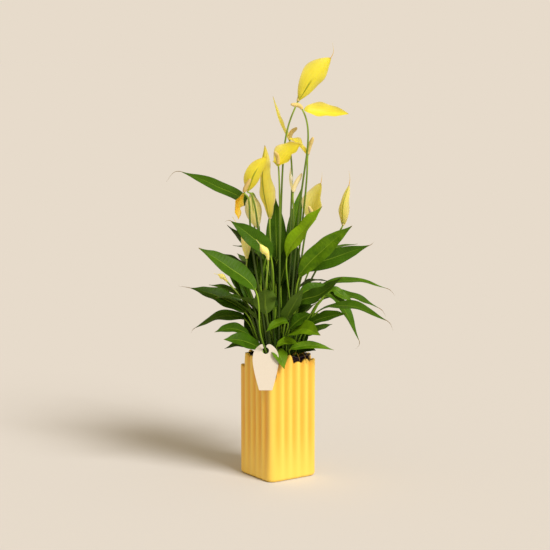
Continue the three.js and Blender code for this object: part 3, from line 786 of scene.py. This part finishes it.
# foot: heading and distance on the soil. start and end: heading, distance and height over the rim of the
# blade's two ends. Headings are degrees from the plant's right, as the camera sees it, towards the back. Then
# the blade's width, how far its middle is lifted, its roll in degrees and its tone: 0 old and dark, 1 young.
leafRows = [
    ((-66, 37), (-60, 40, 49), (-60, 165, 70), 44, 14, 35, 0.72),
    ((-57, 30), (-42, 55, 116), (-40, 163, 178), 34, -8, 65, 0.25),
    ((-41, 38), (-48, 27, 207), (-30, 101, 311), 42, 6, 60, 0.95),
    ((-29, 31), (-36, 75, 74), (-38, 170, 106), 30, 5, 45, 0.3),
    ((-8, 30), (-20, 46, 166), (-20, 156, 273), 42, 8, 75, 0.6),
    ((-17, 38), (-22, 90, 101), (-26, 237, 92), 34, 18, 12, 0.4),
    ((4, 38), (-6, 96, 128), (-8, 165, 37), 34, 24, 25, 0.45),
    ((15, 31), (0, 53, 174), (-3, 184, 229), 38, 4, 80, 0.4),
    ((26, 38), (12, 90, 115), (8, 209, 95), 30, 16, 26, 0.4),
    ((38, 31), (24, 88, 132), (20, 240, 128), 26, 18, 15, 0.5),
    ((49, 38), (33, 66, 36), (30, 130, 56), 26, 4, 25, 0.5),
    ((61, 31), (38, 96, 190), (36, 205, 216), 32, 8, 5, 0.5),
    ((73, 38), (62, 50, 209), (60, 99, 339), 28, 2, 30, 0.5),
    ((85, 31), (78, 62, 120), (76, 190, 150), 40, 16, 0, 0.4),
    ((96, 38), (96, 22, 193), (98, 36, 321), 44, 0, -10, 0.35),
    ((108, 31), (98, 60, 52), (98, 180, 48), 40, 16, 0, 0.4),
    ((120, 38), (118, 62, 130), (117, 190, 190), 40, 12, 0, 0.45),
    ((132, 31), (130, 42, 150), (130, 88, 249), 34, 0, -15, 0.15),
    ((144, 38), (150, 61, 106), (150, 131, 180), 26, 4, -15, 0.5),
    ((155, 31), (155, 62, 297), (162, 208, 371), 28, 10, -55, 0.4),
    ((166, 38), (167, 65, 111), (167, 144, 143), 26, 8, -20, 0.5),
    ((177, 31), (177, 67, 77), (176, 169, 57), 32, 14, -35, 0.4),
    ((188, 38), (185, 48, 21), (183, 108, 18), 26, 7, -25, 0.4),
    ((199, 31), (192, 67, 94), (190, 178, 146), 40, 8, -50, 0.3),
    ((210, 38), (201, 62, 49), (200, 134, 59), 34, 10, -35, 0.3),
    ((262, 33), (248, 37, 208), (213, 110, 283), 40, 6, -75, 0.35),
    ((232, 38), (226, 50, 24), (216, 132, 50), 38, 7, -45, 0.35),
    ((247, 38), (241, 91, 149), (213, 184, 235), 46, 6, -55, 0.4),
    ((283, 36), (288, 48, 79), (290, 142, 159), 34, 4, 0, 0.45),
]
leafColumns = ("foot", "start", "end", "width", "arch", "roll", "tone")
leaves = [dict(zip(leafColumns, row)) for row in leafRows]
leaves[27]["bends"] = besideHole

# dried threads at the tips of some leaves: heading, distance and height over the rim of their end
leafThreads = {
    6: (-26, 250, 74), 7: (-8, 158, 20), 8: (-3, 192, 236), 9: (8, 222, 78), 10: (20, 258, 112),
    20: (164, 236, 350), 22: (176, 176, 48), 24: (190, 200, 150), 26: (213, 124, 282),
}

for number, leaf in enumerate(leaves, 1):
    shapes = [leafShape(leaf, 100 + number, fullDetail)]
    if number in leafThreads:
        tip = around(*leaf["end"])
        inner = lerp(tip, around(*leaf["start"]), 0.1) + np.array([0, 0, leaf["arch"] * 0.3])
        values = {"along": 1, "across": 0.5, "tone": 0.5}
        shapes.append(threadShape(tip, inner, around(*leafThreads[number]), 0.6, values))
    addPiece(f"leaf_blade_{number}", shapes, [leafSkin], [f"leaf_{number}"])
print("leaves made")


# flowers

flowerSize = {
    "stalkRadius": 2.2,
    "stalkTop": 1.6,
    "spadixRadius": 4.0,
    "thickness": 0.45,
    "fold": 0.5,
    "gap": 0.3,
    "knobDepth": 0.1,
    "knobTurns": 9,
    "knobRows": 15,
}

# foot: place on the soil. bends, top, spadix and tip: sideways, depth and height over the rim. The stalk runs
# through its bends to its top and on into the spadix, and the spathe runs from the top to its tip. bow moves
# the spathe's middle sideways and up, lift slides its base along it, and thread is where its dried tip ends.
# belly over 0.85 moves the widest part towards the tip, and lobe sweeps the base back like a heart. age, pale
# and green run from 0 to about 1: how dried, how cream coloured, and how far up the green rib goes.
flowers = [
    dict(foot=(2, 8), bends=[(5, 10, 240), (14, 10, 430)], top=(40, 10, 515), spadix=(58, 22, 545),
         tip=(105, 10, 600), width=48, bow=(-4, 6), belly=1.15, thread=(108, 10, 630), age=0.1, pale=0,
         green=0.5),
    dict(foot=(16, -6), bends=[(42, -10, 290), (60, -10, 440)], top=(48, -10, 500), spadix=(26, -21, 510),
         tip=(140, -10, 490), width=32, bow=(0, 4), belly=0.7, lift=4, age=0.2, pale=0, green=0.1),
    dict(foot=(8, 14), bends=[(28, 20, 330)], top=(24, 28, 437), spadix=(38, 28, 462),
         tip=(-10, 28, 524), width=26, bow=(3, 0), belly=0.6, age=0.15, pale=0.1, green=0.3),
    dict(foot=(2, -14), bends=[(4, -20, 280)], top=(1, -20, 392), spadix=(-6, -40, 418),
         tip=(44, -16, 430), width=48, bow=(-2, 6), lift=-4, lobe=0.6, age=0.3, pale=0, green=0),
    dict(foot=(17, 4), bends=[(54, 2, 320)], top=(60, 2, 410), spadix=(70, -4, 444),
         tip=(22, 4, 440), width=30, bow=(0, 10), lift=1.5, age=0.4, pale=0, green=0.3),
    dict(foot=(-14, -6), bends=[(-38, -15, 250), (-50, -15, 325)], top=(-60, -15, 338), spadix=(-52, -4, 362),
         tip=(-22, -30, 407), width=34, bow=(-6, 4), lift=1, age=0.1, pale=0, green=0.7),
    dict(foot=(-14, -18), bends=[(-51, -16, 230), (-57, -32, 318)], top=(-66, -34, 338),
         spadix=(-54, -36, 364), tip=(-78, -38, 284), width=26, bow=(-6, 0), lift=2, age=0.8, pale=0,
         green=0.2),
    dict(foot=(-6, -4), bends=[(-12, -5, 180)], top=(-16, -5, 282), spadix=(-6, 10, 328),
         tip=(-26, 2, 428), width=40, bow=(0, 0), belly=0.75, age=0.35, pale=0.1, green=1.2),
    dict(foot=(-12, 8), bends=[(-34, 14, 220), (-44, 14, 316)], top=(-53, 12, 330), spadix=(-48, 22, 302),
         tip=(-40, 8, 260), width=34, bow=(-2, 0), lift=1, age=0.1, pale=0.45, green=0.6),
    dict(foot=(9, 2), bends=[(30, 0, 260)], top=(31, 0, 335), spadix=(48, -2, 372),
         tip=(25, 0, 383), width=22, bow=(0, 0), age=0, pale=1, green=0.5),
    dict(foot=(23, -1), bends=[(52, 0, 232)], top=(69, 0, 279), spadix=(62, -15, 308),
         tip=(86, 0, 353), width=48, bow=(-6, 0), lobe=0.7, thread=(88, 0, 374), age=0.2, pale=0.3,
         green=0.1),
    dict(foot=(15, 19), bends=[(58, 40, 130), (118, 44, 238)], top=(132, 40, 264), spadix=(142, 48, 296),
         tip=(144, 40, 346), width=24, bow=(-2, 0), belly=0.7, thread=(143, 40, 374), age=0.15, pale=0.3,
         green=1.2),
]


def stalkFoot(flower):
    return np.array([flower["foot"][0] * seatScale, flower["foot"][1] * seatScale, soilHeight - 1.0])


def stalkTube(points, topAt, rows):
    share = np.linspace(0, 1, rows)
    radius = lerp(flowerSize["stalkRadius"], flowerSize["stalkTop"], share)
    return tubeShape(points, topAt * share, radius, {"along": share[:, None]})


def stalkShapes(flower):
    # a tapering stalk, then the spadix with its tiny flowers packed in crossing spirals
    passed = [*flower["bends"], flower["top"], flower["spadix"]]
    points = [stalkFoot(flower), *map(placeOf, passed)]
    topAt = (len(points) - 2) / (len(points) - 1)
    body = np.linspace(0, 1, 64)
    rounded = np.sin(math.pi * lerp(0.13, 0.99, body)) ** 0.35 + 0.02
    outline = flowerSize["spadixRadius"] * np.minimum(1, rounded)
    depth, turns, upward, sides = flowerSize["knobDepth"], flowerSize["knobTurns"], flowerSize["knobRows"], 54

    def knob(angle, along):
        level, up = turns * angle / 2, upward * math.pi * along
        return 1 + depth * np.abs(np.sin(level + up) * np.sin(level - up)) ** 0.6

    angle = np.linspace(0, 2 * math.pi, sides, endpoint=False)
    bumps = (knob(angle[None], body[:, None]) - 1) / depth
    values = {"knob": bumps, "age": flower["age"], "pale": flower["pale"]}
    spadix = tubeShape(points, lerp(topAt, 1, body), outline, values, sides, 1, knob)
    return [stalkTube(points, topAt, 70), spadix]


def spatheShapes(flower, seed):
    # a hooded blade that stands behind the spadix: cupped across, bowed along, wavy and curled at its margins
    draw = np.random.default_rng(seed)
    start, end = placeOf(flower["top"]), placeOf(flower["tip"])
    direction = unit(end - start)
    toSpadix = placeOf(flower["spadix"]) - start
    facing = unit(toSpadix - direction * toSpadix.dot(direction))
    behind = flowerSize["stalkTop"] + flowerSize["gap"] + 0.5
    start = start - facing * behind + direction * flower.get("lift", 0)
    middle = (start + end) / 2 - facing * 0.08 * np.linalg.norm(end - placeOf(flower["top"]))
    middle = middle + np.array([flower["bow"][0], 0, flower["bow"][1]])
    along = np.linspace(0, 1, 90)
    place, forward = curveAt([start, middle, end], along)
    side, face = frameAlong(forward, facing, 0)
    outline = np.maximum(0, np.sin(math.pi * along ** flower.get("belly", 0.85))) ** 0.75
    lobe = flower.get("lobe", 0)
    outline = np.maximum(outline, lobe * smooth(along * 12) * (1 - smooth(along * 1.6)))
    halfWidth = np.maximum(flower["width"] / 2 * outline, lerp(2.2, 0.3, smooth(along * 6)))
    angle, isUnder = ringColumns(25)
    across = np.sin(angle)[None]
    edge = np.abs(across)
    thick = flowerSize["thickness"] / 2 * np.sqrt(np.maximum(0, 1 - edge**2)) * (1 - 2 * isUnder)[None]
    cup = flowerSize["fold"] * halfWidth[:, None] * edge**1.7
    wavy = np.sin(2 * math.pi * draw.uniform(1.5, 2.5) * along[:, None] + np.where(across > 0, 0.5, 2.8))
    lift = thick + cup + wavy * edge**3 * halfWidth[:, None] * lerp(0.12, 0.3, flower["age"])
    lift = lift + 0.25 * np.cos(spatheLook["veins"] * across) * edge * (1 - edge) * 2
    rings = ringsAlong(place, side, face, across * halfWidth[:, None], lift)
    swept = lobe * 0.5 * halfWidth[:, None] * edge**2 * (1 - smooth(along * 1.8))[:, None]
    rings = rings - forward[:, None] * swept[..., None]
    values = {key: flower[key] for key in ("age", "pale", "green")}
    values.update(across=across, along=along[:, None])
    shapes = [closedGrid(turned(rings), values)]
    if "thread" in flower:
        values = {"along": 1, "across": 0.5, "age": 0.6, "green": 0.5}
        shapes.append(threadShape(end, place[-6], placeOf(flower["thread"]), 0.7, values))
    return shapes


for number, flower in enumerate(flowers, 1):
    addPiece(f"stalk_{number}", stalkShapes(flower), [stalkSkin, spadixSkin],
             [f"flower_stalk_{number}"])
    addPiece(f"hood_{number}", spatheShapes(flower, 300 + number), [spatheSkin],
             [f"spathe_{number}"])
print("flowers made")


# buds

buds = [
    dict(foot=(-22, -8), bends=[(-50, -14, 113), (-63, -12, 170)], top=(-62, -12, 202), swell=(-66, -12, 244),
         tip=(-90, -12, 286), radius=9),
    dict(foot=(-8, -15), bends=[(-24, -52, 120)], top=(-19, -70, 207), swell=(-30, -74, 231),
         tip=(-42, -76, 248), radius=7),
    dict(foot=(-21, 3), bends=[(-58, -2, 96)], top=(-101, -4, 154), swell=(-115, -4, 167),
         tip=(-128, -4, 171), radius=5),
]


def budShapes(bud):
    # a stalk that swells into a rolled spindle and runs out to a thread
    passed = [*bud["bends"], bud["top"], bud["swell"], bud["tip"]]
    points = [stalkFoot(bud), *map(placeOf, passed)]
    topAt = (len(points) - 3) / (len(points) - 1)
    body = np.linspace(0, 1, 50)
    swollen = np.maximum(0, np.sin(math.pi * np.clip(body * 1.3 + 0.04, 0, 1))) ** 1.3
    spindle = 0.5 + bud["radius"] * swollen + 1.2 * (1 - body) * smooth(1 - body * 6)
    values = {"along": 0.35 + body[:, None] * 0.3, "across": 0.5, "pale": 0.45, "green": 0.4}
    rolled = tubeShape(points, lerp(topAt, 1, body), spindle, values, 28, 1)
    return [stalkTube(points, topAt, 60), rolled]


for number, bud in enumerate(buds, 1):
    addPiece(f"bud_rolled_{number}", budShapes(bud), [stalkSkin, spatheSkin], [f"bud_{number}"])
print("buds made")


# care tag

def tagPiece():
    # a flat shield with a slit that runs into a round hole, its edges slightly rounded
    size = tagSize
    half, foot, slit = size["width"] / 2, size["footWidth"] / 2, size["slit"] / 2
    neck, widest, length = slit + size["hornWidth"], -size["widestFromTop"], size["length"]

    def bow(a, b, c, count=14):
        t = np.linspace(0, 1, count)[:-1, None]
        return np.array(a) * (1 - t) ** 2 + np.array(b) * 2 * t * (1 - t) + np.array(c) * t**2

    right = [bow((slit, -size["horn"]), (slit + size["hornWidth"] / 3, 0), (neck, -1)),
             bow((neck, -1), (half, widest / 3), (half, widest), 24),
             bow((half, widest), (half, widest * 1.6), (foot, 2 - length), 24),
             bow((foot, 2 - length), (foot, -length), (foot - 2, -length), 6),
             np.array([(foot - 2, -length)])]
    right = np.vstack(right)
    meet = math.asin(slit / size["holeRadius"])
    turn = np.linspace(math.pi / 2 + meet, 2.5 * math.pi - meet, 40)
    hole = size["holeRadius"] * np.stack([np.cos(turn), np.sin(turn)], -1)
    hole = hole - np.array([0, size["holeFromTop"]])
    outline = np.vstack([right, right[::-1] * np.array([-1, 1]), hole])
    count = len(outline)
    thick = size["thickness"] / 2
    back = np.column_stack([outline, np.full(count, -thick)])
    front = np.column_stack([outline, np.full(count, thick)])
    local = np.vstack([back, front]) + np.array([0, size["holeFromTop"], 0])
    # stood up, leaning back by its lean, with the middle of its hole where the leaf's stem passes
    c, s = math.cos(math.pi / 2 - tagLean), math.sin(math.pi / 2 - tagLean)
    points = np.stack([local[:, 0], local[:, 1] * c - local[:, 2] * s, local[:, 1] * s + local[:, 2] * c], -1)
    points = turned(points + placeOf(tagHole))
    index = list(range(count))
    sides = [(i, i + count, (i + 1) % count + count, (i + 1) % count) for i in index]
    mesh = bpy.data.meshes.new("tag_board")
    mesh.from_pydata(points.tolist(), [], [index, [i + count for i in reversed(index)], *sides])
    mesh.update()
    mesh.materials.append(tagBoard)
    piece = bpy.data.objects.new("tag_board", mesh)
    bpy.context.scene.collection.objects.link(piece)
    soft = piece.modifiers.new("soft edge", "BEVEL")
    soft.width = 0.3 * mm
    soft.segments = 2
    soft.limit_method = "ANGLE"
    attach(piece, "root")
    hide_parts("care_tag")


tagPiece()
print("care tag made")


# the small and hidden leaves that fill the clump

# as the rows of leaves above, but startPlace and endPlace are sideways, depth and height over the rim
smallRows = [
    ((262, 20), (-24, -44, 96), (-26, -84, 152), 50, 6, 5, 0.35),
    ((286, 26), (20, -56, 80), (-24, -74, 64), 22, 8, -30, 0.6),
    ((300, 24), (24, -52, 66), (66, -66, 100), 32, 5, 50, 0.3),
    ((330, 24), (44, -24, 126), (106, -18, 146), 28, 8, 60, 0.45),
    ((350, 20), (104, -8, 134), (150, -16, 116), 22, 4, 40, 0.55),
    ((280, 36), (-2, -60, 34), (42, -70, 38), 24, 8, 35, 0.75),
    ((310, 36), (26, -48, 26), (112, -42, 22), 22, 8, 40, 0.6),
    ((272, 36), (-4, -58, 22), (13, -80, -9), 34, 9, 10, 0.65),
    ((276, 34), (2, -64, 14), (-4, -84, -34), 9, 5, 60, 0.2),
    ((322, 34), (38, -30, 16), (76, -46, 22), 26, 6, 40, 0.1),
    ((190, 22), (-34, 0, 148), (-22, -6, 208), 16, 0, 0, 0.7),
    ((205, 26), (-44, -8, 30), (-92, -20, 40), 24, 8, -40, 0.2),
    ((170, 22), (-43, 8, 151), (-60, 45, 246), 32, 2, 0, 0.05),
    ((200, 16), (-36, 0, 147), (-31, 22, 205), 20, 0, 0, 0.45),
    ((182, 26), (-56, 4, 115), (-109, 10, 186), 26, 3, -50, 0.25),
    ((192, 28), (-50, -6, 103), (-84, -4, 175), 20, 2, -60, 0.3),
    ((10, 22), (40, 16, 96), (88, 24, 150), 30, 6, 60, 0.1),
    ((345, 28), (44, -6, 60), (104, -12, 84), 28, 8, 45, 0.15),
    ((95, 10), (-4, 14, 146), (2, 44, 228), 36, 0, 0, 0.05),
    ((60, 12), (30, 14, 138), (36, 46, 234), 36, 0, 0, 0.12),
    ((80, 8), (2, 6, 22), (4, 36, 104), 38, 0, 0, 0.05),
    ((20, 20), (40, 4, 14), (60, 32, 88), 36, 2, 10, 0.12),
    ((165, 22), (-44, 4, 26), (-66, 34, 112), 36, 2, -10, 0.1),
]
smallColumns = ("foot", "startPlace", "endPlace", "width", "arch", "roll", "tone")
smallLeaves = [dict(zip(smallColumns, row)) for row in smallRows]


def hiddenLeaves():
    # dark leaves that stand close together in the middle and round the back of the clump
    draw = np.random.default_rng(11)
    made = []
    for heading in np.linspace(20, 200, 18):
        heading = heading + draw.uniform(-6, 6)
        reach, height = draw.uniform(14, 52), draw.uniform(30, 190)
        length, rise = draw.uniform(75, 120), draw.uniform(0.25, 1.2)
        outward, top = reach + length * math.cos(math.atan(rise)), height + length * math.sin(math.atan(rise))
        made.append(dict(foot=(heading, draw.uniform(12, 34)), start=(heading, reach, height),
                         end=(heading + draw.uniform(-12, 12), outward, top),
                         width=draw.uniform(28, 42), arch=draw.uniform(2, 14), roll=draw.uniform(-20, 20),
                         tone=draw.uniform(0.1, 0.4)))
    for heading in np.tile(np.linspace(35, 145, 8), 2):
        reach, height = draw.uniform(4, 34), draw.uniform(24, 160)
        made.append(dict(foot=(heading, draw.uniform(6, 26)), start=(heading, reach, height),
                         end=(heading, reach + draw.uniform(22, 44), height + draw.uniform(70, 105)),
                         width=draw.uniform(32, 44), arch=draw.uniform(-2, 4), roll=draw.uniform(-15, 15),
                         tone=draw.uniform(0.0, 0.15)))
    return made


# withered stems that rise from the soil and hang over the rim: sideways, depth and height over the rim
witheredStems = [
    [(28, -12, -14), (45, -27, 13), (54, -38, 9), (57, -42, -5)],
    [(33, -7, -14), (52, -22, 14), (61, -33, 8), (64, -37, -3)],
    [(20, -22, -14), (34, -38, 16), (41, -49, 11), (44, -53, 2)],
]


def witheredStemPiece():
    # dry stems that taper towards their hanging ends
    values = {"along": 1, "across": 0.5, "tone": 0.3}
    share = np.linspace(0, 1, 40)
    radius = lerp(1.3, 0.4, share)
    shapes = []
    for stem in witheredStems:
        points = [placeOf(point) for point in stem]
        points[0][2] = soilHeight - 1
        shapes.append(tubeShape(points, share, radius, values, 10))
    addPiece("withered_stems", shapes, [leafSkin])


witheredStemPiece()


for number, leaf in enumerate(smallLeaves + hiddenLeaves(), 1):
    addPiece(f"small_leaf_{number}", [leafShape(leaf, 500 + number, smallDetail)], [leafSkin])
print("small leaves made")


# floor and light

studio = {
    "wall": "#e7dbcb",
    "ambient": 0.62,  # how strong the light from all round is
    "ambientColour": "#ead2ac",
    "keyHeading": -48,  # degrees from the plant's right, as the camera sees it
    "keyRise": 42,
    "keyStrength": 3.15,
    "keySpread": 24,  # degrees, for soft shadow edges
    "keyColour": "#fff6ea",
    "floorSize": 800,  # metres, so that its far edge is out of sight
}


def addStage():
    # the floor takes just the colour that makes it merge with the wall under this light
    names = ("wall", "keyColour", "ambientColour")
    wall, key, ambient = (np.array(linear(studio[name])[:3]) for name in names)
    level = math.sin(math.radians(studio["keyRise"])) * studio["keyStrength"] / math.pi
    albedo = wall / (studio["ambient"] * ambient + level * key)
    settings = {"Base Color": (*albedo, 1), "Roughness": 0.9, "Specular IOR Level": 0}
    mesh = bpy.data.meshes.new("floor")
    size = studio["floorSize"] / 2
    corners = [(-size, -size, 0), (size, -size, 0), (size, size, 0), (-size, size, 0)]
    mesh.from_pydata(corners, [], [range(4)])
    mesh.materials.append(newMaterial("matt pale floor", settings)[0])
    floor = bpy.data.objects.new("floor", mesh)
    bpy.context.scene.collection.objects.link(floor)


def addLights():
    # one broad sun, and a room that lights more softly than the wall colour the camera sees
    data = bpy.data.lights.new("key", "SUN")
    data.energy = studio["keyStrength"]
    data.angle = math.radians(studio["keySpread"])
    data.color = linear(studio["keyColour"])[:3]
    key = bpy.data.objects.new("key", data)
    heading = math.radians(studio["keyHeading"]) + clumpTurn
    key.rotation_euler = (math.radians(90 - studio["keyRise"]), 0, heading + math.pi / 2)
    bpy.context.scene.collection.objects.link(key)
    world = bpy.data.worlds.new("room")
    world.use_nodes = True
    tree = world.node_tree
    seen = addNode(tree, "LightPath", output="Is Camera Ray")
    colour = addNode(tree, "Mix", seen, studio["ambientColour"], studio["wall"], data_type="RGBA")
    ambient = studio["ambient"]
    strength = addNode(tree, "Math", seen, 1 - ambient, ambient, operation="MULTIPLY_ADD")
    feed(tree.nodes["Background"], {"Color": colour, "Strength": strength})
    bpy.context.scene.world = world
    bpy.context.scene.view_settings.view_transform = "Standard"


addStage()
addLights()
print("floor and lights made")
